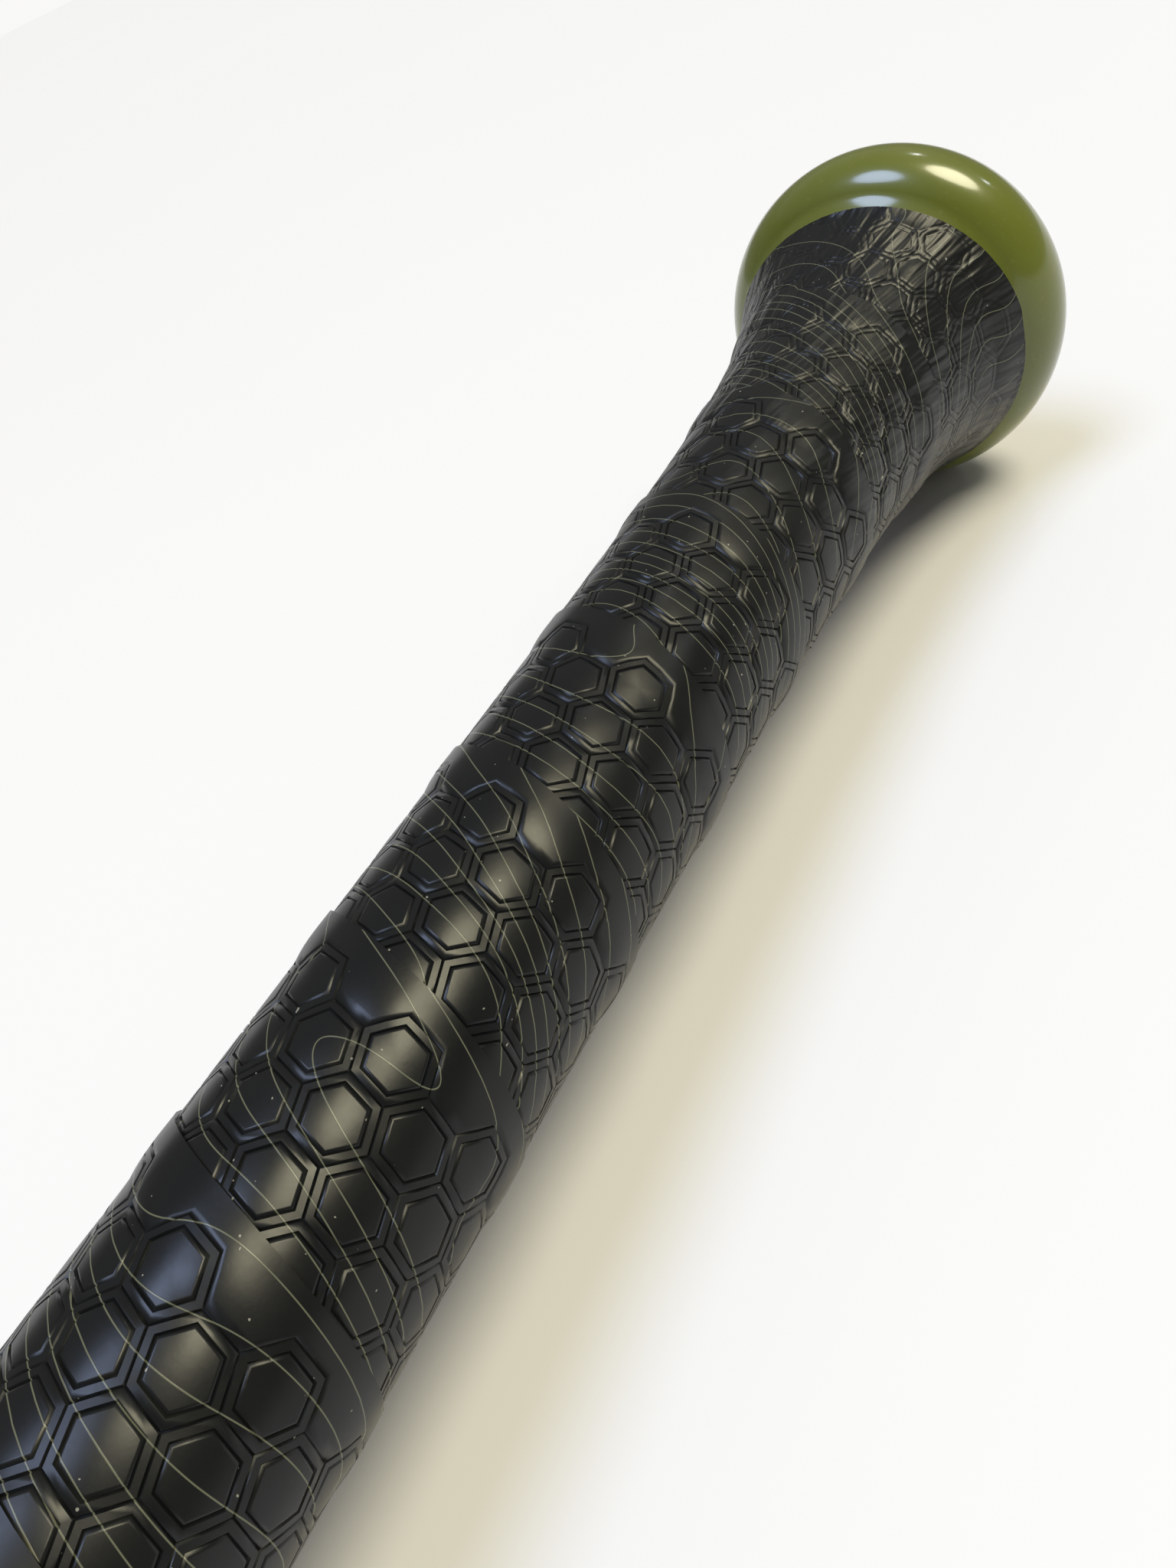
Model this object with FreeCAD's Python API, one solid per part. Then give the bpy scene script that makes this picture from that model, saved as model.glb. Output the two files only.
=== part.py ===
import FreeCAD, Part
import math
import os

# A two-piece baseball bat with a taped handle, as its separate pieces.
# Millimetres, +Z up. The bat's axis is the X axis: the origin is the centre of
# the knob's end face, and the barrel points along +X.

# --- driving dimensions: the whole bat
BAT_LENGTH = 838.2          # a 33 inch bat
BARREL_RADIUS = 33.35       # a 2 5/8 inch barrel
KNOB_RADIUS = 25.4          # a 2 inch knob
TUBE_RADIUS = 12.0          # bare handle tube
TAPER_START = 345.0         # the handle begins to swell here
TAPER_END = 640.0           # the barrel is straight from here

# --- knob: a round bead whose end face is flat
BEAD_RADIUS = 7.2
BEAD_CENTRE_RADIUS = KNOB_RADIUS - BEAD_RADIUS
KNOB_FRONT_RADIUS = 21.4
KNOB_FRONT = BEAD_RADIUS + math.sqrt(BEAD_RADIUS**2 - (KNOB_FRONT_RADIUS - BEAD_CENTRE_RADIUS)**2)
DISC_RADIUS = 15.0
DISC_THICKNESS = 1.0
PLUG_FLANGE = 1.6
PLUG_DEPTH = 12.0

# --- grip: tape over a flared cone next to the knob, then over the bare tube
TAPE_THICKNESS = 1.6        # a wound tape, with its overlaps levelled out
GRIP_RADIUS = TUBE_RADIUS + TAPE_THICKNESS
FLARE_RISE = 8.8            # how far the flare stands out at the knob
FLARE_FADE = 17.8           # the flare falls by e over this length
FLARE_LENGTH = 75.0         # and is gone after this length
CONE_LENGTH = 60.0          # the cone under the tape stops a little earlier
GRIP_END = 330.0
BAND_START = GRIP_END - 8.0
BAND_END = GRIP_END + 11.0
BAND_THICKNESS = 0.35

# --- handle tube
TUBE_WALL = 2.2
TUBE_START = DISC_THICKNESS + PLUG_FLANGE
SPIGOT_RADIUS = 14.6
SPIGOT_BORE = 12.2
SPIGOT_END = 500.0
END_PLUG_LENGTH = 14.0

# --- joint between handle and barrel
COLLAR_START = 426.0
COLLAR_END = 442.0
COLLAR_CROWN = 0.9          # the rubber collar bulges this far above the taper

# --- barrel
SHELL_END = 830.0
SHELL_WALL = 3.2
THROAT_WALL = 2.6
LIP_RADIUS = 2.0            # rounding of the shell's open end
BORE_RADIUS = BARREL_RADIUS - SHELL_WALL
RING_START = 728.0
RING_WIDTH = 16.0
RING_THICKNESS = 3.0

# --- end cap
CAP_RADIUS = 31.6
CAP_EDGE_RADIUS = 4.5
CAP_SKIRT = 18.0
CAP_WALL = 2.6
CAP_DISH_RADIUS = 24.0
CAP_DISH_DEPTH = 4.2


def flare(x):
    """How far the flare stands out from the straight grip at x."""
    faded = math.exp(-FLARE_LENGTH / FLARE_FADE)
    along = min(max(x - KNOB_FRONT, 0.0), FLARE_LENGTH)
    return FLARE_RISE * (math.exp(-along / FLARE_FADE) - faded) / (1 - faded)


def grip_radius(x):
    return GRIP_RADIUS + flare(x)


def cone_radius(x):
    return TUBE_RADIUS + flare(x)


def body_radius(x):
    """Radius of the bare bat: straight handle, S-shaped taper, straight barrel."""
    t = min(max((x - TAPER_START) / (TAPER_END - TAPER_START), 0.0), 1.0)
    return TUBE_RADIUS + (BARREL_RADIUS - TUBE_RADIUS) * t * t * (3 - 2 * t)


def shell_bore_radius(x):
    t = min(max((x - COLLAR_END) / (TAPER_END - COLLAR_END), 0.0), 1.0)
    return body_radius(x) - THROAT_WALL - (SHELL_WALL - THROAT_WALL) * t


def point(x, radius):
    return FreeCAD.Vector(x, 0, radius)


def path(*corners):
    """Straight outline edges through corners, each given as (x, radius)."""
    edges = []
    for here, there in zip(corners, corners[1:]):
        edges.append(Part.makeLine(point(*here), point(*there)))
    return edges


def curve(radius_at, start, end, steps=20):
    """One smooth outline edge through radius_at(x) from x = start to x = end."""
    places = [start + (end - start) * i / steps for i in range(steps + 1)]
    spline = Part.BSplineCurve()
    spline.interpolate([point(x, radius_at(x)) for x in places])
    return [spline.toShape()]


def arc(start, middle, end):
    return [Part.Arc(point(*start), point(*middle), point(*end)).toShape()]


def on_circle(centre, radius, degrees):
    """A point of a circle in the outline, with 0 degrees along +X."""
    angle = math.radians(degrees)
    return (centre[0] + radius * math.cos(angle), centre[1] + radius * math.sin(angle))


def turned(edges):
    """The solid made by turning a closed outline once round the bat's axis."""
    face = Part.Face(Part.Wire(Part.__sortEdges__(edges)))
    solid = face.revolve(FreeCAD.Vector(0, 0, 0), FreeCAD.Vector(1, 0, 0), 360)
    return solid if solid.Volume > 0 else solid.reversed()


def turned_block(start, end, inner, outer):
    """A plain ring, or a disc where inner is 0."""
    return turned(path((start, inner), (start, outer), (end, outer), (end, inner), (start, inner)))


def knob():
    centre = (BEAD_RADIUS, BEAD_CENTRE_RADIUS)
    front = (KNOB_FRONT, KNOB_FRONT_RADIUS)
    front_angle = math.degrees(math.asin((KNOB_FRONT_RADIUS - BEAD_CENTRE_RADIUS) / BEAD_RADIUS))
    middle = on_circle(centre, BEAD_RADIUS, (180 + front_angle) / 2)
    back = (0, BEAD_CENTRE_RADIUS)
    rim = arc(front, middle, back)
    rest = path(back, (0, DISC_RADIUS), (DISC_THICKNESS, DISC_RADIUS), (DISC_THICKNESS, TUBE_RADIUS),
                (KNOB_FRONT, TUBE_RADIUS), front)
    return turned(rim + rest)


def knob_disc():
    return turned_block(0, DISC_THICKNESS, 0, DISC_RADIUS)


def knob_plug():
    bore = TUBE_RADIUS - TUBE_WALL
    return turned(path((DISC_THICKNESS, 0), (DISC_THICKNESS, TUBE_RADIUS), (TUBE_START, TUBE_RADIUS),
                       (TUBE_START, bore), (TUBE_START + PLUG_DEPTH, bore),
                       (TUBE_START + PLUG_DEPTH, 0), (DISC_THICKNESS, 0)))


def flare_cone():
    end = KNOB_FRONT + CONE_LENGTH
    outside = curve(cone_radius, KNOB_FRONT, end)
    rest = path((end, cone_radius(end)), (end, TUBE_RADIUS), (KNOB_FRONT, TUBE_RADIUS),
                (KNOB_FRONT, cone_radius(KNOB_FRONT)))
    return turned(outside + rest)


def grip_tape():
    cone_end = KNOB_FRONT + CONE_LENGTH
    flare_end = KNOB_FRONT + FLARE_LENGTH
    outside = curve(grip_radius, KNOB_FRONT, flare_end)
    inside = curve(cone_radius, KNOB_FRONT, cone_end)
    rest = path((flare_end, GRIP_RADIUS), (GRIP_END, GRIP_RADIUS), (GRIP_END, TUBE_RADIUS),
                (cone_end, TUBE_RADIUS), (cone_end, cone_radius(cone_end)))
    knob_side = path((KNOB_FRONT, cone_radius(KNOB_FRONT)), (KNOB_FRONT, grip_radius(KNOB_FRONT)))
    return turned(outside + inside + rest + knob_side)


def grip_end_band():
    outer = GRIP_RADIUS + BAND_THICKNESS
    return turned(path((BAND_START, GRIP_RADIUS), (BAND_START, outer), (GRIP_END, outer),
                       (GRIP_END + BAND_THICKNESS, TUBE_RADIUS + BAND_THICKNESS),
                       (BAND_END, TUBE_RADIUS + BAND_THICKNESS), (BAND_END, TUBE_RADIUS),
                       (GRIP_END, TUBE_RADIUS), (GRIP_END, GRIP_RADIUS), (BAND_START, GRIP_RADIUS)))


def handle_tube():
    bore = TUBE_RADIUS - TUBE_WALL
    swell = curve(body_radius, TAPER_START, COLLAR_START)
    rest = path((COLLAR_START, body_radius(COLLAR_START)), (COLLAR_START, SPIGOT_RADIUS),
                (SPIGOT_END, SPIGOT_RADIUS), (SPIGOT_END, SPIGOT_BORE), (COLLAR_START, SPIGOT_BORE),
                (TAPER_START, bore), (TUBE_START, bore), (TUBE_START, TUBE_RADIUS),
                (TAPER_START, TUBE_RADIUS))
    return turned(swell + rest)


def handle_end_plug():
    return turned_block(SPIGOT_END - END_PLUG_LENGTH, SPIGOT_END, 0, SPIGOT_BORE)


def collar():
    middle = (COLLAR_START + COLLAR_END) / 2
    front = (COLLAR_START, body_radius(COLLAR_START))
    back = (COLLAR_END, body_radius(COLLAR_END))
    outside = arc(front, (middle, body_radius(middle) + COLLAR_CROWN), back)
    rest = path(back, (COLLAR_END, SPIGOT_RADIUS), (COLLAR_START, SPIGOT_RADIUS), front)
    return turned(outside + rest)


def joint_sleeve():
    outside = curve(shell_bore_radius, COLLAR_END, SPIGOT_END)
    rest = path((SPIGOT_END, shell_bore_radius(SPIGOT_END)), (SPIGOT_END, SPIGOT_RADIUS),
                (COLLAR_END, SPIGOT_RADIUS), (COLLAR_END, shell_bore_radius(COLLAR_END)))
    return turned(outside + rest)


def barrel_shell():
    outside = curve(body_radius, COLLAR_END, TAPER_END, steps=30)
    bore_front = curve(shell_bore_radius, COLLAR_END, SPIGOT_END)
    bore_back = curve(shell_bore_radius, SPIGOT_END, TAPER_END)
    lip_centre = (SHELL_END - LIP_RADIUS, BARREL_RADIUS - LIP_RADIUS)
    lip_start = (SHELL_END - LIP_RADIUS, BARREL_RADIUS)
    lip_end = (SHELL_END, BARREL_RADIUS - LIP_RADIUS)
    lip = arc(lip_start, on_circle(lip_centre, LIP_RADIUS, 45), lip_end)
    barrel = path((TAPER_END, BARREL_RADIUS), lip_start)
    mouth = path(lip_end, (SHELL_END, BORE_RADIUS), (TAPER_END, BORE_RADIUS))
    throat = path((COLLAR_END, shell_bore_radius(COLLAR_END)), (COLLAR_END, body_radius(COLLAR_END)))
    return turned(outside + bore_front + bore_back + lip + barrel + mouth + throat)


def barrel_ring():
    return turned_block(RING_START, RING_START + RING_WIDTH, BORE_RADIUS - RING_THICKNESS, BORE_RADIUS)


def end_cap():
    edge_centre = (BAT_LENGTH - CAP_EDGE_RADIUS, CAP_RADIUS - CAP_EDGE_RADIUS)
    edge_start = (BAT_LENGTH - CAP_EDGE_RADIUS, CAP_RADIUS)
    edge_end = (BAT_LENGTH, CAP_RADIUS - CAP_EDGE_RADIUS)
    edge = arc(edge_start, on_circle(edge_centre, CAP_EDGE_RADIUS, 45), edge_end)
    # The dish is part of a sphere, so its outline is one arc down to the axis.
    dish_sphere = (CAP_DISH_RADIUS**2 + CAP_DISH_DEPTH**2) / (2 * CAP_DISH_DEPTH)
    half_way = CAP_DISH_RADIUS / 2
    dish_at_half = math.sqrt(dish_sphere**2 - half_way**2) - (dish_sphere - CAP_DISH_DEPTH)
    dish_floor = BAT_LENGTH - CAP_DISH_DEPTH
    dish = arc((BAT_LENGTH, CAP_DISH_RADIUS), (BAT_LENGTH - dish_at_half, half_way), (dish_floor, 0))
    inside = dish_floor - CAP_WALL
    skirt_start = SHELL_END - CAP_SKIRT
    skirt_bore = BORE_RADIUS - CAP_WALL
    face = path(edge_end, (BAT_LENGTH, CAP_DISH_RADIUS))
    rest = path((dish_floor, 0), (inside, 0), (inside, skirt_bore), (skirt_start, skirt_bore),
                (skirt_start, BORE_RADIUS), (SHELL_END, BORE_RADIUS), (SHELL_END, CAP_RADIUS), edge_start)
    return turned(edge + face + dish + rest)


NODES = {
    "knob": knob,
    "knob_disc": knob_disc,
    "knob_plug": knob_plug,
    "flare_cone": flare_cone,
    "grip_tape": grip_tape,
    "grip_end_band": grip_end_band,
    "handle_tube": handle_tube,
    "handle_end_plug": handle_end_plug,
    "collar": collar,
    "joint_sleeve": joint_sleeve,
    "barrel_shell": barrel_shell,
    "barrel_ring": barrel_ring,
    "end_cap": end_cap,
}

os.makedirs("parts", exist_ok=True)
for name, build in NODES.items():
    shape = build()
    if not shape.isValid() or len(shape.Solids) != 1:
        raise ValueError(f"{name} is not one valid solid")
    shape.exportStep(f"parts/{name}.step")
    print(f"{name}: {shape.Volume / 1000:.2f} cm3")
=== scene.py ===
import math

import bpy
import bmesh
import numpy as np
from mathutils import Matrix, Vector


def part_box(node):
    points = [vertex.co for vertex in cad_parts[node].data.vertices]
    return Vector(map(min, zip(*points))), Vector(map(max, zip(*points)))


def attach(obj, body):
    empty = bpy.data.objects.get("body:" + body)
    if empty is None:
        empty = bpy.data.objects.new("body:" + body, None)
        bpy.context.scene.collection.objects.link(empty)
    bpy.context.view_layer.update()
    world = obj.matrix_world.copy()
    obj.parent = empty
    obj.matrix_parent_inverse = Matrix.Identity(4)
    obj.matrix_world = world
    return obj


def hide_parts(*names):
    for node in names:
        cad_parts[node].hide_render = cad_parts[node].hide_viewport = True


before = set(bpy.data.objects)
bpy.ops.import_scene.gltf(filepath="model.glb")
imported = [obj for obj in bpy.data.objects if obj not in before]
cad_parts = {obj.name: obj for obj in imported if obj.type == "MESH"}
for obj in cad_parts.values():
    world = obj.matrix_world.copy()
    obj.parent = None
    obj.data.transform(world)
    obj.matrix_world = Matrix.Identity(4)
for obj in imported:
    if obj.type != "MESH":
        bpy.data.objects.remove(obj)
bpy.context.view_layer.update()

MM = 0.001
TURN = 2 * math.pi

# --- places read from the frame
KNOB_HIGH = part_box("knob")[1]
GRIP_LOW, GRIP_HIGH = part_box("grip_tape")
BARREL_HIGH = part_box("barrel_shell")[1]
KNOB_RADIUS = KNOB_HIGH.z
BARREL_RADIUS = BARREL_HIGH.z
GRIP_START = GRIP_LOW.x
GRIP_END = GRIP_HIGH.x
BAND_LOW, BAND_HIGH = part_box("grip_end_band")
TUBE_LOW, TUBE_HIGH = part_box("handle_tube")
COLLAR_LOW, COLLAR_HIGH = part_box("collar")
CAP_LOW, CAP_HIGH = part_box("end_cap")
SHELL_END = BARREL_HIGH.x
CAP_RADIUS = CAP_HIGH.z

# --- the bare bat's outline
TAPER_START = 345 * MM
TAPER_END = 640 * MM
SPIGOT_RADIUS = 14.6 * MM
BORE_RADIUS = BARREL_RADIUS - 3.2 * MM
LIP_RADIUS = 2.0 * MM

# --- the knob's bead
BEAD_RADIUS = 7.2 * MM
DISC_RECESS_RADIUS = 15.1 * MM
DISC_RECESS_DEPTH = 1.0 * MM
KNOB_DISC_RADIUS = 15.0 * MM

# --- what lies under the tape: the bare tube, and the flared cone beside the knob
TUBE_RADIUS = 12.0 * MM
FLARE_RISE = 8.8 * MM
FLARE_FADE = 17.8 * MM

# --- the tape as it comes off the roll
CELL_PITCH = 6.18 * MM          # across the tape, from one hexagon to the next
COLUMN_STEP = 5.787 * MM        # along the tape, which is stretched a little as it is wound
CELLS_ACROSS = 3
MARGIN = 2.6 * MM               # smooth border outside the outermost hexagons
TAPE_WIDTH = 2 * MARGIN + (CELLS_ACROSS + 0.5) * CELL_PITCH
TAPE_THICKNESS = 1.35 * MM
EDGE_THICKNESS = 0.32 * MM      # the borders are shaved thin
SHAVED_WIDTH = 5.0 * MM
GROOVE_DEPTH = 0.17 * MM
BORDER_ROWS = 7
BAND_RADIUS = 14.2 * MM         # the vinyl band over the tape's end

# --- where the barrel's black ends and its pinstripes are
THROAT_END = 540 * MM
CAP_END_START = 780 * MM
PINSTRIPES = (542.0 * MM, 546.5 * MM, 773.5 * MM, 778.0 * MM)

ROOM = 0.20                     # how bright the room is, away from its lamps

# --- how it is wound: left-handed, from the knob towards the barrel
TURN_ADVANCE = 21.3 * MM        # along the handle, from one turn to the next
DATUM_ANGLE = math.radians(50)  # from +Y towards +Z, round the bat's axis
DATUM_X = 159.42 * MM           # where a tape edge crosses the datum angle
START_SLANT = 2.6 * MM          # the tape's first edge stands off the knob on one side
SLANT_ANGLE = math.radians(115)
SLANT_FADE = 14.0 * MM
CELL_PHASE = 1.14 * MM          # slides the hexagons along the tape


# ---------------------------------------------------------------- tools
def only(piece):
    bpy.ops.object.select_all(action="DESELECT")
    piece.select_set(True)
    bpy.context.view_layer.objects.active = piece
    return piece


def added(name):
    """The primitive just added, renamed, alone in the selection."""
    piece = bpy.context.object
    piece.name = name
    piece.data.name = name
    return only(piece)


def apply_modifier(piece, kind, **values):
    modifier = piece.modifiers.new(kind.lower(), kind)
    for key, value in values.items():
        setattr(modifier, key, value)
    only(piece)
    bpy.ops.object.modifier_apply(modifier=modifier.name)


def edit(piece, mode="VERT"):
    only(piece)
    bpy.ops.object.mode_set(mode="EDIT")
    bpy.ops.mesh.select_mode(type=mode)
    bpy.ops.mesh.select_all(action="DESELECT")


def leave_edit():
    bpy.ops.object.mode_set(mode="OBJECT")


def pick(piece, kind, wanted):
    """In edit mode, selects the verts, edges or faces that wanted(item) is true for."""
    bpy.ops.mesh.select_all(action="DESELECT")
    mesh = bmesh.from_edit_mesh(piece.data)
    for item in getattr(mesh, kind):
        if wanted(item):
            item.select_set(True)
    mesh.select_flush_mode()
    bmesh.update_edit_mesh(piece.data)


def place_in_mesh(piece):
    only(piece)
    bpy.ops.object.transform_apply(location=True, rotation=True, scale=True)


def smooth_edges(piece, degrees=35):
    only(piece)
    bpy.ops.object.shade_smooth_by_angle(angle=math.radians(degrees))


# ---------------------------------------------------------------- the tape, flat
def hexagon_cell(at_u, at_w):
    """One embossed hexagon: ring, inner groove and domed pad. Its outline is the groove's floor."""
    bpy.ops.mesh.primitive_circle_add(
        vertices=6, radius=CELL_PITCH / math.sqrt(3), fill_type="NOTHING",
        location=(at_u, at_w, -GROOVE_DEPTH), rotation=(0, 0, math.radians(30)))
    cell = added("hexagon")
    place_in_mesh(cell)
    edit(cell)
    bpy.ops.mesh.select_all(action="SELECT")
    stretched = COLUMN_STEP / (CELL_PITCH * math.sqrt(3) / 2)
    bpy.ops.transform.resize(value=(stretched, 1, 1), center_override=(at_u, at_w, 0))
    bpy.ops.mesh.subdivide(number_cuts=1)
    bpy.ops.mesh.edge_face_add()
    bpy.ops.mesh.inset(thickness=0.13 * MM, depth=GROOVE_DEPTH)
    bpy.ops.mesh.inset(thickness=0.54 * MM, depth=0.02 * MM)
    bpy.ops.mesh.inset(thickness=0.13 * MM, depth=-1.1 * GROOVE_DEPTH)
    bpy.ops.mesh.inset(thickness=0.17 * MM, depth=1.0 * GROOVE_DEPTH)
    bpy.ops.mesh.inset(thickness=0.16 * MM, depth=0.02 * MM)
    bpy.ops.mesh.poke(offset=0.02 * MM)
    leave_edit()
    return cell


def flat_tape(length):
    """The whole tape laid flat: u along X, w along Y, its upper side near Z = 0."""
    first = MARGIN + CELL_PITCH / 2
    cells = [hexagon_cell(0, first), hexagon_cell(COLUMN_STEP, first + CELL_PITCH / 2)]
    only(cells[0])
    cells[1].select_set(True)
    bpy.ops.object.join()
    tape = added("grip_tape_wound")
    apply_modifier(tape, "ARRAY", count=CELLS_ACROSS, use_relative_offset=False,
                   use_constant_offset=True, constant_offset_displace=(0, CELL_PITCH, 0))
    pairs = int(length / (2 * COLUMN_STEP)) + 2
    apply_modifier(tape, "ARRAY", count=pairs, use_relative_offset=False,
                   use_constant_offset=True, constant_offset_displace=(2 * COLUMN_STEP, 0, 0))
    edit(tape)
    bpy.ops.mesh.select_all(action="SELECT")
    bpy.ops.mesh.remove_doubles(threshold=0.01 * MM)
    bpy.ops.mesh.select_all(action="DESELECT")
    add_border(tape, 0.0)
    add_border(tape, TAPE_WIDTH)
    close_underside(tape)
    leave_edit()
    return tape


def add_border(tape, edge):
    """Carries the zigzag outline of the hexagons out to the tape's straight edge at w = edge."""
    outline_reach = MARGIN + CELL_PITCH / 2 + 0.1 * MM
    mesh = bmesh.from_edit_mesh(tape.data)
    low = min(v.co.x for v in mesh.verts) + CELL_PITCH
    high = max(v.co.x for v in mesh.verts) - CELL_PITCH
    pick(tape, "edges", lambda e: e.is_boundary and all(
        abs(v.co.y - edge) < outline_reach and low < v.co.x < high for v in e.verts))
    for row in range(-1, BORDER_ROWS):
        bpy.ops.mesh.extrude_edges_move()
        mesh = bmesh.from_edit_mesh(tape.data)
        for v in mesh.verts:
            if v.select and row < 0:
                v.co.y += math.copysign(0.25 * MM, edge - v.co.y)
                v.co.z = 0
            elif v.select:
                v.co.y += (edge - v.co.y) / (BORDER_ROWS - row)
        bmesh.update_edit_mesh(tape.data)


def close_underside(tape):
    """Cuts the two ends straight, then gives the tape its side walls, its underside and its ends."""
    mesh = bmesh.from_edit_mesh(tape.data)
    low = min(v.co.x for v in mesh.verts)
    high = max(v.co.x for v in mesh.verts)
    for place, direction in ((low + 2 * CELL_PITCH, -1), (high - 2 * CELL_PITCH, 1)):
        bpy.ops.mesh.select_all(action="SELECT")
        bpy.ops.mesh.bisect(plane_co=(place, 0, 0), plane_no=(direction, 0, 0), clear_outer=True)
    for edge in (0.0, TAPE_WIDTH):
        pick(tape, "edges", lambda e: e.is_boundary and all(
            abs(v.co.y - edge) < 0.01 * MM for v in e.verts))
        bpy.ops.mesh.extrude_edges_move(TRANSFORM_OT_translate={"value": (0, 0, -TAPE_THICKNESS)})
    under = -0.9 * TAPE_THICKNESS
    pick(tape, "edges", lambda e: e.is_boundary and all(v.co.z < under for v in e.verts))
    bpy.ops.mesh.bridge_edge_loops(number_cuts=BORDER_ROWS, interpolation="LINEAR")
    bpy.ops.mesh.select_all(action="DESELECT")
    bpy.ops.mesh.select_non_manifold(extend=False, use_wire=False, use_multi_face=False,
                                     use_non_contiguous=False, use_verts=False)
    bpy.ops.mesh.edge_face_add()


# ---------------------------------------------------------------- the tape, wound
def base_radius(x):
    """Radius of the tube and the flared cone, which the tape lies on."""
    return TUBE_RADIUS + FLARE_RISE * np.exp(-np.maximum(x - GRIP_START, 0) / FLARE_FADE)


def eased(t):
    t = np.clip(t, 0, 1)
    return t * t * (3 - 2 * t)


class Winding:
    """Where a point of the flat tape goes on the handle.

    run is the distance along the handle's surface from the grip's start, turned is the angle
    wound since the tape's start, and both are tabled finely enough to read between the entries.
    """

    def __init__(self):
        self.x = np.linspace(GRIP_START, GRIP_END + TAPE_WIDTH, 4000)
        slope = np.gradient(base_radius(self.x), self.x)
        steps = np.hypot(1, slope[1:]) * np.diff(self.x)
        self.run = np.concatenate([[0], np.cumsum(steps)])
        turns = (self.run[-1] + 2 * TAPE_WIDTH) / TURN_ADVANCE
        self.turned = np.linspace(0, turns * TURN, 20000)
        self.edge = TURN_ADVANCE * self.turned / TURN - TAPE_WIDTH
        middle = np.maximum(self.edge + TAPE_WIDTH / 2, TAPE_WIDTH / 3)
        radius = base_radius(self.x_at(middle)) + TAPE_THICKNESS
        self.lean = np.arctan(TURN_ADVANCE / TURN / radius)
        lengths = radius / np.cos(self.lean)
        steps = (lengths[1:] + lengths[:-1]) / 2 * np.diff(self.turned)
        self.length = np.concatenate([[0], np.cumsum(steps)])
        self.datum = np.interp(np.interp(DATUM_X, self.x, self.run), self.edge, self.turned)

    def x_at(self, run):
        return np.interp(run, self.run, self.x)

    def length_where_edge_is_at(self, run):
        return float(np.interp(run, self.edge, self.length))

    def height_below(self, w, lean):
        """The last turn lies underneath, as far as its thinning far border reaches."""
        under = TAPE_WIDTH - (w + TURN_ADVANCE * np.cos(lean))
        return TAPE_THICKNESS * eased(under / (TAPE_WIDTH - TURN_ADVANCE * np.cos(lean)))

    def wound(self, flat):
        u, w, z = flat.T
        turned = np.interp(u, self.length, self.turned)
        lean = np.interp(u, self.length, self.lean)
        run = np.interp(u, self.length, self.edge) + w * np.cos(lean)
        run = np.maximum(run, 0)
        x = self.x_at(run)
        outside = base_radius(x) + TAPE_THICKNESS
        angle = DATUM_ANGLE - (turned - self.datum) + w * np.sin(lean) / outside
        slant = START_SLANT * (1 + np.cos(angle - SLANT_ANGLE)) / 2
        x = x + slant * np.exp(-run / SLANT_FADE)
        base = base_radius(x)
        z = z * (0.32 + 0.68 * eased(run / (3 * FLARE_FADE)))
        side = np.minimum(w, TAPE_WIDTH - w)
        thickness = EDGE_THICKNESS + (TAPE_THICKNESS - EDGE_THICKNESS) * eased(side / SHAVED_WIDTH)
        on_top = z > -0.5 * TAPE_THICKNESS
        height = self.height_below(w, lean) + np.where(on_top, thickness + z, 0)
        radius = base + height
        return np.stack([x, radius * np.cos(angle), radius * np.sin(angle)], axis=1)


def wind_tape():
    winding = Winding()
    start = winding.length_where_edge_is_at(-TAPE_WIDTH)
    last_run = float(np.interp(GRIP_END, winding.x, winding.run))
    end = winding.length_where_edge_is_at(last_run)
    tape = flat_tape(end - start + 8 * COLUMN_STEP)
    tape.location.x = CELL_PHASE - 4 * COLUMN_STEP
    place_in_mesh(tape)
    trim_to_circle(tape, winding, 0.0, -1)
    trim_to_circle(tape, winding, last_run, 1)
    count = len(tape.data.vertices)
    flat = np.zeros(count * 3)
    tape.data.vertices.foreach_get("co", flat)
    flat = flat.reshape(-1, 3)
    store_flat_place(tape, flat)
    tape.data.vertices.foreach_set("co", winding.wound(flat).ravel())
    tape.data.update()
    edit(tape, "FACE")
    bpy.ops.mesh.select_all(action="SELECT")
    bpy.ops.mesh.normals_make_consistent(inside=False)
    leave_edit()
    smooth_edges(tape, 50)
    return tape


def trim_to_circle(tape, winding, run, direction):
    """Cuts the flat tape on the slant that lies square to the bat once it is wound."""
    at_edge = winding.length_where_edge_is_at(run)
    at_far_border = winding.length_where_edge_is_at(
        run - TAPE_WIDTH * math.cos(float(np.interp(at_edge, winding.length, winding.lean))))
    cut = Vector((at_edge - at_far_border, -TAPE_WIDTH, 0)).normalized()
    normal = Vector((-cut.y, cut.x, 0)) * direction
    edit(tape)
    bpy.ops.mesh.select_all(action="SELECT")
    bpy.ops.mesh.bisect(plane_co=(at_edge, 0, 0), plane_no=normal, use_fill=True, clear_outer=True)
    leave_edit()


def store_flat_place(tape, flat):
    """The tape's own UV map: millimetres along and across the flat tape, over 100."""
    layer = tape.data.uv_layers.new(name="flat_tape")
    corners = np.zeros(len(tape.data.loops), dtype=np.int32)
    tape.data.loops.foreach_get("vertex_index", corners)
    layer.data.foreach_set("uv", (flat[corners, :2] * 10).ravel())


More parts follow.
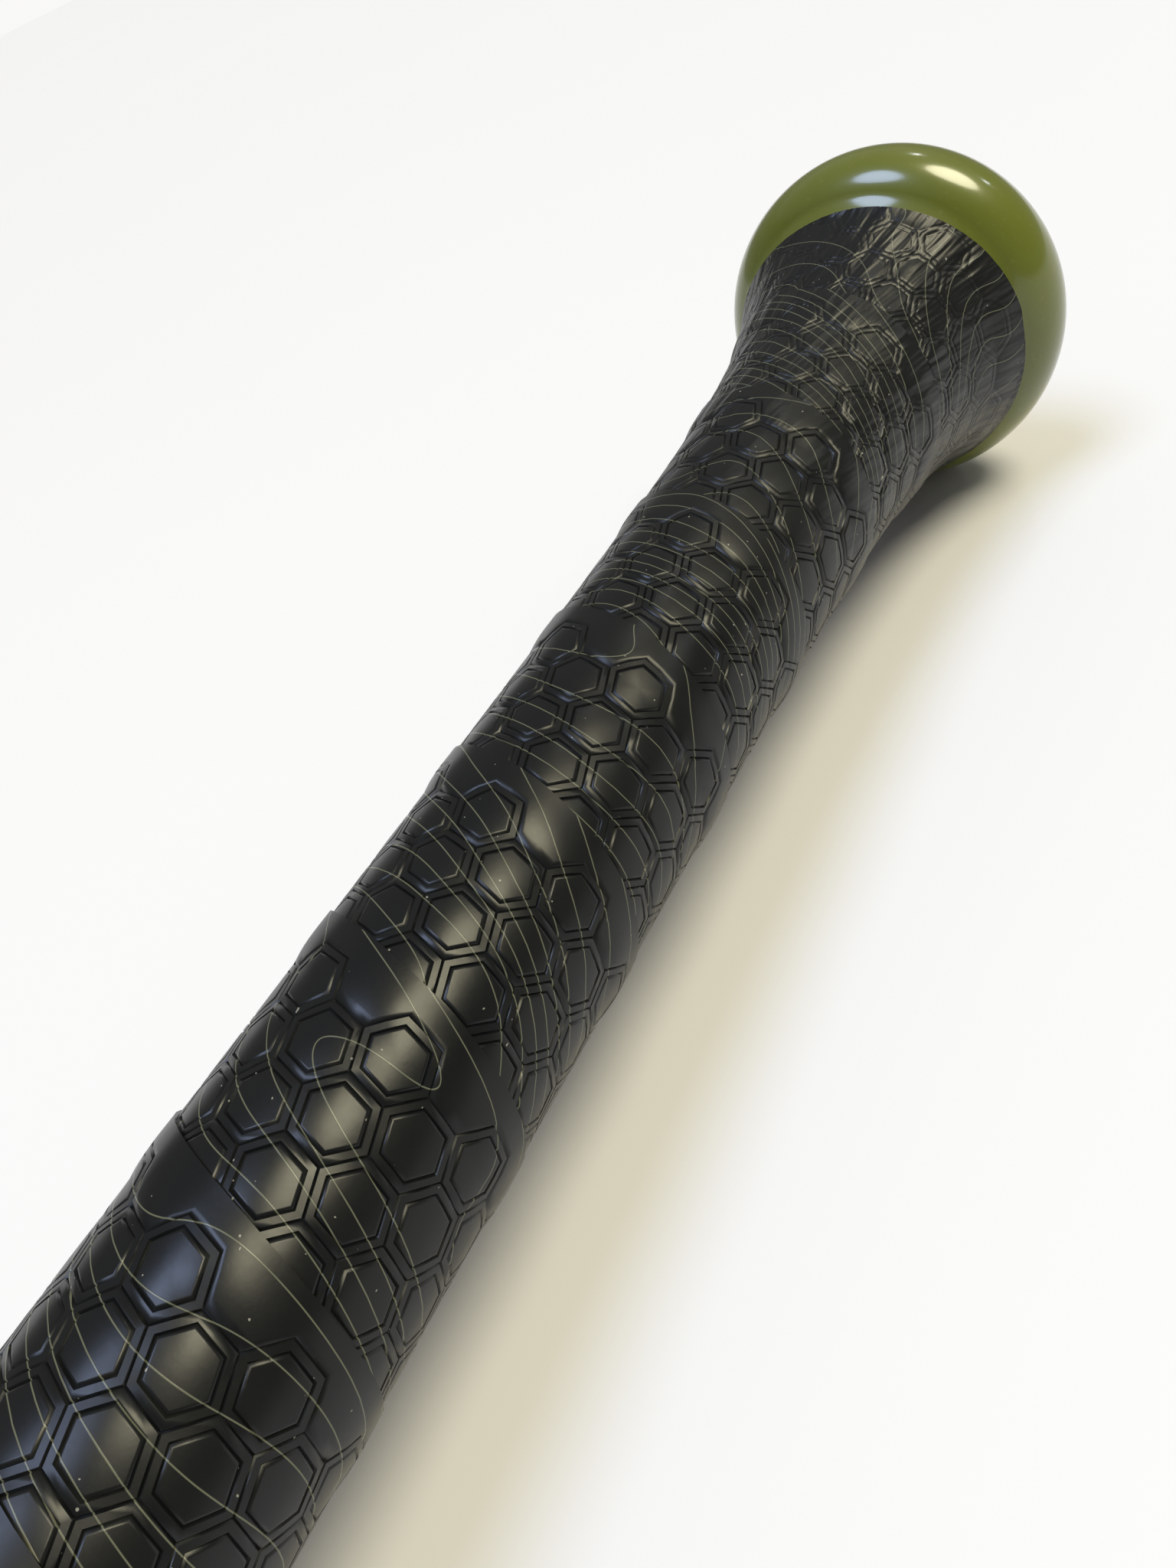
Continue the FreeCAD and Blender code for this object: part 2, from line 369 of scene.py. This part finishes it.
# ---------------------------------------------------------------- pieces turned on the bat's axis
def turned(name, outline, sides=128):
    """Extrudes a circle through the outline's (x, radius) places, and caps both ends."""
    (x, radius), *rest = outline
    bpy.ops.mesh.primitive_circle_add(vertices=sides, radius=radius, fill_type="NOTHING",
                                      location=(x, 0, 0), rotation=(0, math.radians(90), 0))
    piece = added(name)
    place_in_mesh(piece)
    edit(piece, "EDGE")
    bpy.ops.mesh.select_all(action="SELECT")
    bpy.ops.mesh.edge_face_add()
    bpy.ops.mesh.select_mode(type="EDGE")
    for next_x, next_radius in rest:
        bpy.ops.mesh.extrude_edges_move(TRANSFORM_OT_translate={"value": (next_x - x, 0, 0)})
        grown = next_radius / radius
        bpy.ops.transform.resize(value=(1, grown, grown), center_override=(next_x, 0, 0))
        x, radius = next_x, next_radius
    bpy.ops.mesh.edge_face_add()
    bpy.ops.mesh.select_all(action="SELECT")
    bpy.ops.mesh.normals_make_consistent(inside=False)
    leave_edit()
    smooth_edges(piece, 30)
    return piece


def body_radius(x):
    """The bare bat: straight handle, S-shaped taper, straight barrel."""
    along_taper = (x - TAPER_START) / (TAPER_END - TAPER_START)
    return TUBE_RADIUS + (BARREL_RADIUS - TUBE_RADIUS) * float(eased(along_taper))


def along(start, end, steps):
    return [start + (end - start) * i / steps for i in range(steps + 1)]


def arc(centre, radius, start, end, steps=6):
    """Places on a circle in the outline, with 0 degrees towards the barrel."""
    turns = [math.radians(a) for a in along(start, end, steps)]
    return [(centre[0] + radius * math.cos(a), centre[1] + radius * math.sin(a)) for a in turns]


def knob():
    """A full round bead with a recess for the disc, and a neck that runs in under the tape."""
    bead = (BEAD_RADIUS, KNOB_RADIUS - BEAD_RADIUS)
    outline = [(KNOB_HIGH.x + x * MM, radius * MM) for x, radius in (
        (8.0, 15.0), (7.0, 17.4), (4.8, 18.5), (3.2, 19.35), (2.0, 20.05), (1.0, 20.75), (0.3, 21.3))]
    outline += arc(bead, BEAD_RADIUS, 30, 180, 40)
    outline += [(0, DISC_RECESS_RADIUS + 0.1 * MM), (0.1 * MM, DISC_RECESS_RADIUS),
                (DISC_RECESS_DEPTH, DISC_RECESS_RADIUS)]
    return turned("knob_turned", outline, sides=160)


def knob_disc():
    """A plain inset disc with one fine ring turned into it."""
    rim = KNOB_DISC_RADIUS
    ring = 0.74 * rim
    return turned("knob_disc_plain", [
        (DISC_RECESS_DEPTH, rim), (0.30 * MM, rim), (0.10 * MM, rim - 0.08 * MM), (0, rim - 0.35 * MM),
        (0, ring + 0.45 * MM), (0.22 * MM, ring + 0.15 * MM), (0.22 * MM, ring - 0.15 * MM),
        (0, ring - 0.45 * MM), (0, 1.2 * MM), (0.15 * MM, 0.9 * MM), (0.15 * MM, 0.4 * MM)])


def grip_end_band():
    """Two turns of stretchy vinyl that hold the tape's end down, pulled in where they leave it."""
    low = TUBE_RADIUS + 0.1 * MM
    high = BAND_RADIUS
    step = GRIP_END
    return turned("vinyl_band", [
        (BAND_LOW.x, low), (BAND_LOW.x, high - 0.15 * MM), (BAND_LOW.x + 0.2 * MM, high),
        (step - 5.2 * MM, high), (step - 4.9 * MM, high + 0.13 * MM),
        (step - 0.6 * MM, high + 0.10 * MM),
        (step + 0.1 * MM, high - 0.35 * MM), (step + 0.9 * MM, high - 1.15 * MM),
        (step + 1.9 * MM, low + 0.50 * MM), (step + 3.2 * MM, low + 0.36 * MM),
        (step + 6.3 * MM, low + 0.33 * MM), (step + 6.6 * MM, low + 0.20 * MM),
        (BAND_HIGH.x - 0.2 * MM, low + 0.20 * MM), (BAND_HIGH.x, low + 0.05 * MM),
        (BAND_HIGH.x, TUBE_RADIUS * 0.99)])


def handle():
    outline = [(TUBE_LOW.x, TUBE_RADIUS - 0.3 * MM), (TUBE_LOW.x + 0.3 * MM, TUBE_RADIUS)]
    outline += [(x, TUBE_RADIUS) for x in along(0.1, TAPER_START, 5)]
    outline += [(x, body_radius(x)) for x in along(TAPER_START + 5 * MM, COLLAR_LOW.x, 16)]
    outline += [(COLLAR_LOW.x, SPIGOT_RADIUS), (TUBE_HIGH.x - 1 * MM, SPIGOT_RADIUS),
                (TUBE_HIGH.x, SPIGOT_RADIUS - 1 * MM)]
    return turned("handle_turned", outline)


def collar():
    """A rubber collar, crowned and rounded at its lips, with three fine grooves round it."""
    start, end = COLLAR_LOW.x, COLLAR_HIGH.x
    middle = (start + end) / 2
    half = (end - start) / 2
    crown = COLLAR_HIGH.z - body_radius(middle)

    def top(x):
        t = (x - middle) / half
        return body_radius(x) + crown * math.sqrt(max(0.0, 1 - 0.86 * t * t)) - 0.30 * MM

    outline = [(start, SPIGOT_RADIUS), (start, body_radius(start)),
               (start + 0.1 * MM, top(start) - 0.05 * MM)]
    grooves = [middle - 3.6 * MM, middle, middle + 3.6 * MM]
    places = along(start + 0.6 * MM, end - 0.6 * MM, 14)
    for x in places:
        if all(abs(x - g) > 0.75 * MM for g in grooves):
            outline.append((x, top(x)))
    for g in grooves:
        outline += [(g - 0.45 * MM, top(g)), (g - 0.25 * MM, top(g) - 0.4 * MM),
                    (g + 0.25 * MM, top(g) - 0.4 * MM), (g + 0.45 * MM, top(g))]
    outline[3:] = sorted(outline[3:])
    outline += [(end - 0.1 * MM, top(end) - 0.05 * MM), (end, body_radius(end)), (end, SPIGOT_RADIUS)]
    return turned("joint_collar", outline)


def barrel():
    start = COLLAR_HIGH.x
    outline = [(start, SPIGOT_RADIUS), (start, body_radius(start) - 0.5 * MM),
               (start + 0.15 * MM, body_radius(start) - 0.1 * MM),
               (start + 0.6 * MM, body_radius(start + 0.6 * MM))]
    outline += [(x, body_radius(x)) for x in along(start + 5 * MM, TAPER_END, 40)]
    lip = SHELL_END - LIP_RADIUS
    outline += [(x, BARREL_RADIUS) for x in along(TAPER_END + 30 * MM, lip - 2 * MM, 4)]
    outline += arc((lip, BARREL_RADIUS - LIP_RADIUS), LIP_RADIUS, 90, 0, 8)
    outline += [(SHELL_END, BORE_RADIUS + 0.1 * MM), (SHELL_END - 12 * MM, BORE_RADIUS)]
    return turned("barrel_turned", outline, sides=160)


def end_cap():
    """A moulded cap: rounded rim, two fine ribs, a dished face with steps, and the gate's small boss."""
    end = CAP_HIGH.x
    edge = 4.5 * MM
    dish_radius, dish_depth = 24.0 * MM, 4.2 * MM
    sphere = (dish_radius ** 2 + dish_depth ** 2) / (2 * dish_depth)

    def dish(radius):
        return end - dish_depth + sphere - math.sqrt(sphere ** 2 - radius ** 2)

    outline = [(CAP_LOW.x, BORE_RADIUS - 2.6 * MM), (CAP_LOW.x, BORE_RADIUS - 0.1 * MM),
               (SHELL_END, BORE_RADIUS - 0.1 * MM), (SHELL_END, CAP_RADIUS - 0.3 * MM),
               (SHELL_END + 0.3 * MM, CAP_RADIUS), (SHELL_END + 1.2 * MM, CAP_RADIUS),
               (SHELL_END + 1.4 * MM, CAP_RADIUS - 0.25 * MM),
               (SHELL_END + 1.9 * MM, CAP_RADIUS - 0.25 * MM),
               (SHELL_END + 2.1 * MM, CAP_RADIUS)]
    outline += arc((end - edge, CAP_RADIUS - edge), edge, 90, 0, 10)
    outline += [(end, dish_radius + 0.8 * MM), (end - 0.15 * MM, dish_radius + 0.2 * MM)]
    for radius in (22.6, 20.4):
        outline.append((dish(radius * MM), radius * MM))
    step = 0.35 * MM
    for radius in (18.6, 15.0, 11.0):
        outline += [(dish(radius * MM), radius * MM), (dish(radius * MM) + step, (radius - 0.3) * MM),
                    (dish((radius - 1.3) * MM) + step, (radius - 1.3) * MM),
                    (dish((radius - 1.6) * MM), (radius - 1.6) * MM)]
    outline += [(dish(r * MM), r * MM) for r in (7.5, 5.0, 2.6)]
    outline += [(dish(2.3 * MM) + 0.4 * MM, 2.3 * MM), (dish(1.0 * MM) + 0.5 * MM, 1.0 * MM)]
    return turned("end_cap_moulded", outline)


# ---------------------------------------------------------------- finishes
class Finish:
    """A material and the few node shorthands that its recipe needs."""

    def __init__(self, name):
        self.material = bpy.data.materials.new(name)
        self.material.use_nodes = True
        self.tree = self.material.node_tree
        self.shader = self.tree.nodes["Principled BSDF"]

    def node(self, kind, **values):
        made = self.tree.nodes.new(kind)
        for key, value in values.items():
            setattr(made, key, value)
        return made

    def feed(self, socket, value):
        if isinstance(value, bpy.types.NodeSocket):
            self.tree.links.new(value, socket)
        else:
            socket.default_value = value

    def math(self, operation, *values, clamp=False):
        made = self.node("ShaderNodeMath", operation=operation, use_clamp=clamp)
        for socket, value in zip(made.inputs, values):
            self.feed(socket, value)
        return made.outputs[0]

    def vector(self, operation, a, b):
        made = self.node("ShaderNodeVectorMath", operation=operation)
        self.feed(made.inputs[0], a)
        self.feed(made.inputs[1], b)
        return made.outputs[0]

    def place(self):
        return self.node("ShaderNodeTexCoord").outputs["Object"]

    def mapped(self, where, move=(0, 0, 0), turn=0.0, scale=(1, 1, 1)):
        made = self.node("ShaderNodeMapping")
        self.feed(made.inputs["Vector"], where)
        made.inputs["Location"].default_value = move
        made.inputs["Rotation"].default_value = (0, 0, math.radians(turn))
        made.inputs["Scale"].default_value = scale
        return made.outputs[0]

    def noise(self, where, scale, detail=2.0, roughness=0.5, distortion=0.0, dimensions="3D"):
        made = self.node("ShaderNodeTexNoise", noise_dimensions=dimensions)
        self.feed(made.inputs["Vector"], where)
        made.inputs["Scale"].default_value = scale
        made.inputs["Detail"].default_value = detail
        made.inputs["Roughness"].default_value = roughness
        made.inputs["Distortion"].default_value = distortion
        return made.outputs[0]

    def ramp(self, value, low, high, out_low=0.0, out_high=1.0):
        made = self.node("ShaderNodeMapRange", interpolation_type="SMOOTHSTEP")
        for socket, number in zip(made.inputs, (value, low, high, out_low, out_high)):
            self.feed(socket, number)
        return made.outputs[0]

    def mix(self, amount, first, second):
        made = self.node("ShaderNodeMix", data_type="RGBA")
        self.feed(made.inputs["Factor"], amount)
        self.feed(made.inputs["A"], (*first, 1) if isinstance(first, tuple) else first)
        self.feed(made.inputs["B"], (*second, 1) if isinstance(second, tuple) else second)
        return made.outputs["Result"]

    def bump(self, height, distance, strength=1.0):
        made = self.node("ShaderNodeBump")
        self.feed(made.inputs["Height"], height)
        made.inputs["Distance"].default_value = distance
        made.inputs["Strength"].default_value = strength
        self.feed(self.shader.inputs["Normal"], made.outputs[0])

    def set(self, **values):
        for key, value in values.items():
            self.feed(self.shader.inputs[key.replace("_", " ")], value)


def contour_lines(f, land, levels, sample, half_width):
    """Thin lines of one width at equal heights of a land, where land(shift) is its height there.

    sample is the shift for its slope in the land's own units, half_width the line's in samples.
    """
    here = f.math("MULTIPLY", land((0, 0, 0)), levels)
    squares = 0.0
    for shift in ((sample, 0, 0), (0, sample, 0), (0, 0, sample)):
        rise = f.math("SUBTRACT", f.math("MULTIPLY", land(shift), levels), here)
        squares = f.math("MULTIPLY_ADD", rise, rise, squares)
    slope = f.math("MAXIMUM", f.math("SQRT", squares), 0.0004)
    off_level = f.math("ABSOLUTE", f.math("SUBTRACT", here, f.math("ROUND", here)))
    distance = f.math("DIVIDE", off_level, slope)
    return f.ramp(distance, 0.6 * half_width, 1.3 * half_width, 1.0, 0.0)


def tape_finish():
    """Satin black polymer with thin printed contour lines, read from the flat tape's own UV."""
    f = Finish("satin_black_grip_tape")
    uv = f.node("ShaderNodeUVMap", uv_map="flat_tape").outputs[0]

    def land(shift):
        turned_uv = f.mapped(f.vector("ADD", uv, shift), turn=-14)
        across = f.node("ShaderNodeSeparateXYZ")
        f.feed(across.inputs[0], turned_uv)
        hills = f.noise(f.mapped(turned_uv, move=(3.1, 1.7, 0), scale=(1.7, 3.9, 1)), 1.0,
                        detail=1.0, roughness=0.25, distortion=0.25, dimensions="2D")
        return f.math("MULTIPLY_ADD", across.outputs[1], 3.3, hills)

    line = contour_lines(f, land, 12.0, 0.002, 0.27)
    place = f.place()
    broad = f.noise(place, 45.0, detail=3.0)
    grain = f.noise(place, 2600.0, detail=2.0)
    dust = f.ramp(f.noise(place, 2300.0, detail=0.0), 0.865, 0.88)
    black = f.mix(broad, (0.0030, 0.0037, 0.0044), (0.0064, 0.0066, 0.0060))
    black = f.mix(dust, black, (0.22, 0.21, 0.18))
    f.set(Base_Color=f.mix(line, black, (0.108, 0.112, 0.076)))
    rough = f.math("MULTIPLY_ADD", grain, 0.06, f.ramp(broad, 0.3, 0.7, 0.27, 0.36))
    f.set(Roughness=f.math("MULTIPLY_ADD", line, -0.10, rough), Specular_IOR_Level=0.29)
    swell = f.noise(place, 210.0, detail=1.0)
    axis = f.node("ShaderNodeSeparateXYZ")
    f.feed(axis.inputs[0], place)
    near_knob = f.ramp(axis.outputs[0], 0.025, 0.080, 1.0, 0.0)
    pleats = f.noise(f.mapped(uv, turn=20, scale=(46, 7, 1)), 1.0, detail=2.0, dimensions="2D")
    swell = f.math("MULTIPLY_ADD", f.math("MULTIPLY", pleats, near_knob), 16.0, swell)
    height = f.math("MULTIPLY_ADD", grain, 0.08, f.math("MULTIPLY_ADD", line, 0.16, swell))
    f.bump(height, 0.00012, 0.35)
    return f.material


def knob_finish():
    """Glossy olive green paint under clear lacquer."""
    f = Finish("glossy_olive_paint")
    place = f.place()
    cloud = f.noise(place, 60.0, detail=3.0)
    speck = f.noise(place, 1500.0, detail=1.0)
    paint = f.mix(cloud, (0.098, 0.115, 0.007), (0.124, 0.141, 0.012))
    f.set(Base_Color=f.mix(f.ramp(speck, 0.60, 0.85, 0.0, 0.5), paint, (0.150, 0.165, 0.030)))
    f.set(Roughness=f.ramp(cloud, 0.2, 0.8, 0.30, 0.40))
    f.set(Coat_Weight=1.0, Coat_Roughness=0.14, Coat_IOR=1.5, Specular_IOR_Level=0.2)
    f.bump(f.noise(place, 300.0, detail=2.0), 0.00003, 0.25)
    return f.material


def barrel_finish():
    """Olive lacquer between two black ends with thin contour lines, plain pinstripes where they meet."""
    f = Finish("olive_barrel_lacquer")
    place = f.place()
    axis = f.node("ShaderNodeSeparateXYZ")
    f.feed(axis.inputs[0], place)
    x = axis.outputs[0]
    cloud = f.noise(place, 22.0, detail=3.0)
    flake = f.noise(place, 2200.0, detail=0.0)

    def land(shift):
        return f.noise(f.mapped(f.vector("ADD", place, shift), scale=(0.6, 1, 1)), 22.0,
                       detail=1.0, roughness=0.3)

    line = contour_lines(f, land, 12.0, 0.0003, 0.75)
    olive = f.mix(cloud, (0.120, 0.140, 0.017), (0.155, 0.178, 0.028))
    olive = f.mix(f.ramp(flake, 0.66, 0.80), olive, (0.24, 0.27, 0.09))
    black = f.mix(cloud, (0.0075, 0.0085, 0.0085), (0.013, 0.0135, 0.0125))
    black = f.mix(line, black, (0.25, 0.25, 0.16))
    at_throat = f.ramp(x, THROAT_END - 0.5 * MM, THROAT_END, 1.0, 0.0)
    at_cap = f.ramp(x, CAP_END_START - 0.5 * MM, CAP_END_START)
    dark_end = f.math("MAXIMUM", at_throat, at_cap)
    colour = f.mix(dark_end, olive, black)
    stripes = 0.0
    for stripe in PINSTRIPES:
        gap = f.math("ABSOLUTE", f.math("SUBTRACT", x, stripe))
        stripes = f.math("MAXIMUM", stripes, f.ramp(gap, 0.0006, 0.0008, 1.0, 0.0))
    f.set(Base_Color=f.mix(stripes, colour, (0.46, 0.45, 0.33)))
    f.set(Roughness=f.math("MULTIPLY_ADD", dark_end, 0.10, f.ramp(cloud, 0.2, 0.8, 0.28, 0.36)))
    f.set(Coat_Weight=1.0, Coat_Roughness=0.06, Coat_IOR=1.5)
    height = f.math("MULTIPLY_ADD", stripes, 0.3, f.noise(place, 260.0, detail=2.0))
    f.bump(height, 0.00003, 0.25)
    return f.material


def woven_finish():
    """Black composite: a fine twill that lies round the tube under a satin clear coat, with the yarns
    that lie over painted lighter as a painted sheen.
    """
    f = Finish("woven_black_composite")
    place = f.place()
    axis = f.node("ShaderNodeSeparateXYZ")
    f.feed(axis.inputs[0], place)
    round_tube = f.math("ARCTAN2", axis.outputs[1], axis.outputs[2])
    warp = f.math("MULTIPLY", axis.outputs[0], 620.0)
    weft = f.math("MULTIPLY", round_tube, 48 / TURN)
    warp_cell = f.math("FLOOR", warp)
    weft_cell = f.math("FLOOR", weft)
    over = f.math("LESS_THAN", f.math("FLOORED_MODULO", f.math("ADD", warp_cell, weft_cell), 4.0), 1.5)
    bow_warp = f.math("PINGPONG", weft, 0.5)
    bow_weft = f.math("PINGPONG", warp, 0.5)
    height = f.math("ADD", f.math("MULTIPLY", over, bow_warp),
                    f.math("MULTIPLY", f.math("SUBTRACT", 1.0, over), bow_weft))
    cloud = f.noise(place, 70.0, detail=2.0)
    # painted sheen: the twill pattern is real, but the yarns that lie over are painted lighter than
    # those under them, standing in for light caught along the fibres
    sheen_painted_yarn = f.mix(over, (0.012, 0.0125, 0.013), (0.030, 0.031, 0.030))
    f.set(Base_Color=f.mix(f.ramp(cloud, 0.3, 0.75, 0.0, 0.4), sheen_painted_yarn, (0.010, 0.010, 0.010)))
    f.set(Roughness=f.ramp(height, 0.0, 0.5, 0.55, 0.38))
    f.set(Coat_Weight=0.8, Coat_Roughness=0.16, Coat_IOR=1.5)
    f.bump(height, 0.0001, 0.4)
    return f.material


def moulded_finish(name, dark, light, rough, grain_scale, grain_depth):
    """Rubber, vinyl or plastic from a mould: mottled colour, uneven gloss and a fine grain."""
    f = Finish(name)
    place = f.place()
    mottle = f.noise(place, 120.0, detail=4.0, roughness=0.6)
    grain = f.noise(place, grain_scale, detail=2.0)
    dust = f.ramp(f.noise(place, 700.0, detail=1.0), 0.74, 0.80, 0.0, 0.35)
    colour = f.mix(mottle, dark, light)
    f.set(Base_Color=f.mix(dust, colour, tuple(min(1.0, c * 3 + 0.01) for c in light)))
    uneven = f.ramp(mottle, 0.3, 0.7, rough - 0.05, rough + 0.05)
    f.set(Roughness=f.math("MULTIPLY_ADD", grain, 0.10, uneven))
    f.bump(grain, grain_depth, 0.5)
    return f.material


def brushed_finish():
    """Turned aluminium: fine brushing round the ring."""
    f = Finish("brushed_aluminium")
    lines = f.noise(f.mapped(f.place(), scale=(60, 1, 1)), 90.0, detail=3.0)
    f.set(Base_Color=f.mix(lines, (0.52, 0.53, 0.54), (0.68, 0.68, 0.67)), Metallic=1.0)
    f.set(Roughness=f.ramp(lines, 0.2, 0.8, 0.28, 0.42))
    f.bump(lines, 0.00002, 0.3)
    return f.material


def dress(piece, material):
    piece.data.materials.clear()
    piece.data.materials.append(material)


def dress_node(name, material):
    """A CAD node that keeps its shape takes a finish in its own slots."""
    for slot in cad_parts[name].material_slots:
        slot.material = material


# ---------------------------------------------------------------- stage, light and camera
def floor():
    """A pale table top that touches the knob and the barrel, so it leans a little under the bat."""
    knob_touch = Vector((BEAD_RADIUS, 0, -KNOB_RADIUS))
    barrel_touch = Vector((TAPER_END, 0, -BARREL_RADIUS))
    lean = math.atan2(knob_touch.z - barrel_touch.z, barrel_touch.x - knob_touch.x)
    bpy.ops.mesh.primitive_plane_add(size=40, location=knob_touch, rotation=(0, lean, 0))
    top = added("table_top")
    f = Finish("pale_table")
    cloud = f.noise(f.place(), 3.0, detail=2.0)
    f.set(Base_Color=f.mix(cloud, (0.712, 0.709, 0.736), (0.725, 0.722, 0.749)), Roughness=0.7)
    dress(top, f.material)
    return top


def aimed(name, light, place):
    lamp = bpy.data.objects.new(name, light)
    bpy.context.scene.collection.objects.link(lamp)
    lamp.location = place
    lamp.rotation_euler = Vector(place).to_track_quat("Z", "Y").to_euler()
    return lamp


def broad_light(name, direction, spread, strength, colour):
    light = bpy.data.lights.new(name, "SUN")
    light.angle = math.radians(spread)
    light.energy = strength
    light.color = colour
    return aimed(name, light, direction)


def lights():
    """Cool daylight overhead, a warmer lamp beyond the bat, and a room that is dim all round."""
    bpy.context.scene.view_settings.view_transform = "Standard"
    world = bpy.data.worlds.new("room")
    bpy.context.scene.world = world
    world.use_nodes = True
    tree = world.node_tree
    room = tree.nodes["Background"]
    room.inputs["Color"].default_value = (1.0, 0.97, 0.90, 1)
    room.inputs["Strength"].default_value = ROOM
    backdrop = tree.nodes.new("ShaderNodeBackground")
    backdrop.inputs["Color"].default_value = (0.945, 0.942, 0.932, 1)
    seen = tree.nodes.new("ShaderNodeLightPath")
    either = tree.nodes.new("ShaderNodeMixShader")
    tree.links.new(seen.outputs["Is Camera Ray"], either.inputs[0])
    tree.links.new(room.outputs[0], either.inputs[1])
    tree.links.new(backdrop.outputs[0], either.inputs[2])
    tree.links.new(either.outputs[0], tree.nodes["World Output"].inputs["Surface"])
    broad_light("ceiling", (-0.12, -0.16, 0.98), 110, 0.28, (0.90, 0.95, 1.0))
    broad_light("warm_lamp", (-0.20, 0.42, 0.89), 27, 2.76, (1.0, 0.93, 0.66))
    broad_light("window", (0.27, -0.18, 0.95), 24, 1.62, (0.56, 0.68, 1.0))
    broad_light("far_lamp", (-0.65, 0.01, 0.76), 3, 0.07, (1.0, 1.0, 1.0))
    broad_light("farther_lamp", (-0.61, 0.52, 0.60), 3, 0.06, (0.90, 0.95, 1.0))


def camera():
    data = bpy.data.cameras.new("camera")
    data.lens = 24.0
    data.sensor_width = 36.0
    data.clip_start = 0.01
    viewer = bpy.data.objects.new("camera", data)
    bpy.context.scene.collection.objects.link(viewer)
    right = Vector((-0.4749, 0.8178, -0.3251))
    up = Vector((-0.7219, -0.1507, 0.6754))
    back = Vector((0.5033, 0.5554, 0.6619))
    turn = Matrix((right, up, back)).transposed()
    viewer.location = Vector((162.24, 62.46, 74.47)) * MM
    viewer.rotation_euler = turn.to_euler()
    bpy.context.scene.camera = viewer


def stand_in(piece, node, material):
    """The piece takes a CAD node's place, in the slot that the record gives that node."""
    dress(piece, material)
    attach(piece, "root")
    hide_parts(node)


def main():
    floor()
    lights()
    camera()
    stand_in(knob(), "knob", knob_finish())
    stand_in(wind_tape(), "grip_tape", tape_finish())
    dark_plastic = moulded_finish("dark_plastic", (0.016, 0.017, 0.016), (0.026, 0.026, 0.024),
                                  0.45, 1800, 0.00003)
    stand_in(knob_disc(), "knob_disc", dark_plastic)
    vinyl = moulded_finish("black_vinyl", (0.009, 0.009, 0.010), (0.015, 0.015, 0.015),
                           0.32, 500, 0.00006)
    stand_in(grip_end_band(), "grip_end_band", vinyl)
    stand_in(handle(), "handle_tube", woven_finish())
    rubber = moulded_finish("black_rubber", (0.014, 0.014, 0.014), (0.024, 0.023, 0.022),
                            0.62, 900, 0.00008)
    stand_in(collar(), "collar", rubber)
    stand_in(barrel(), "barrel_shell", barrel_finish())
    cap_plastic = moulded_finish("grained_cap_plastic", (0.011, 0.011, 0.012), (0.020, 0.020, 0.019),
                                 0.50, 1400, 0.00008)
    stand_in(end_cap(), "end_cap", cap_plastic)
    foam = moulded_finish("pale_foam", (0.42, 0.40, 0.34), (0.55, 0.53, 0.46), 0.85, 600, 0.0003)
    for node, material in (("knob_plug", dark_plastic), ("flare_cone", foam), ("handle_end_plug", foam),
                           ("joint_sleeve", rubber), ("barrel_ring", brushed_finish())):
        dress_node(node, material)


main()
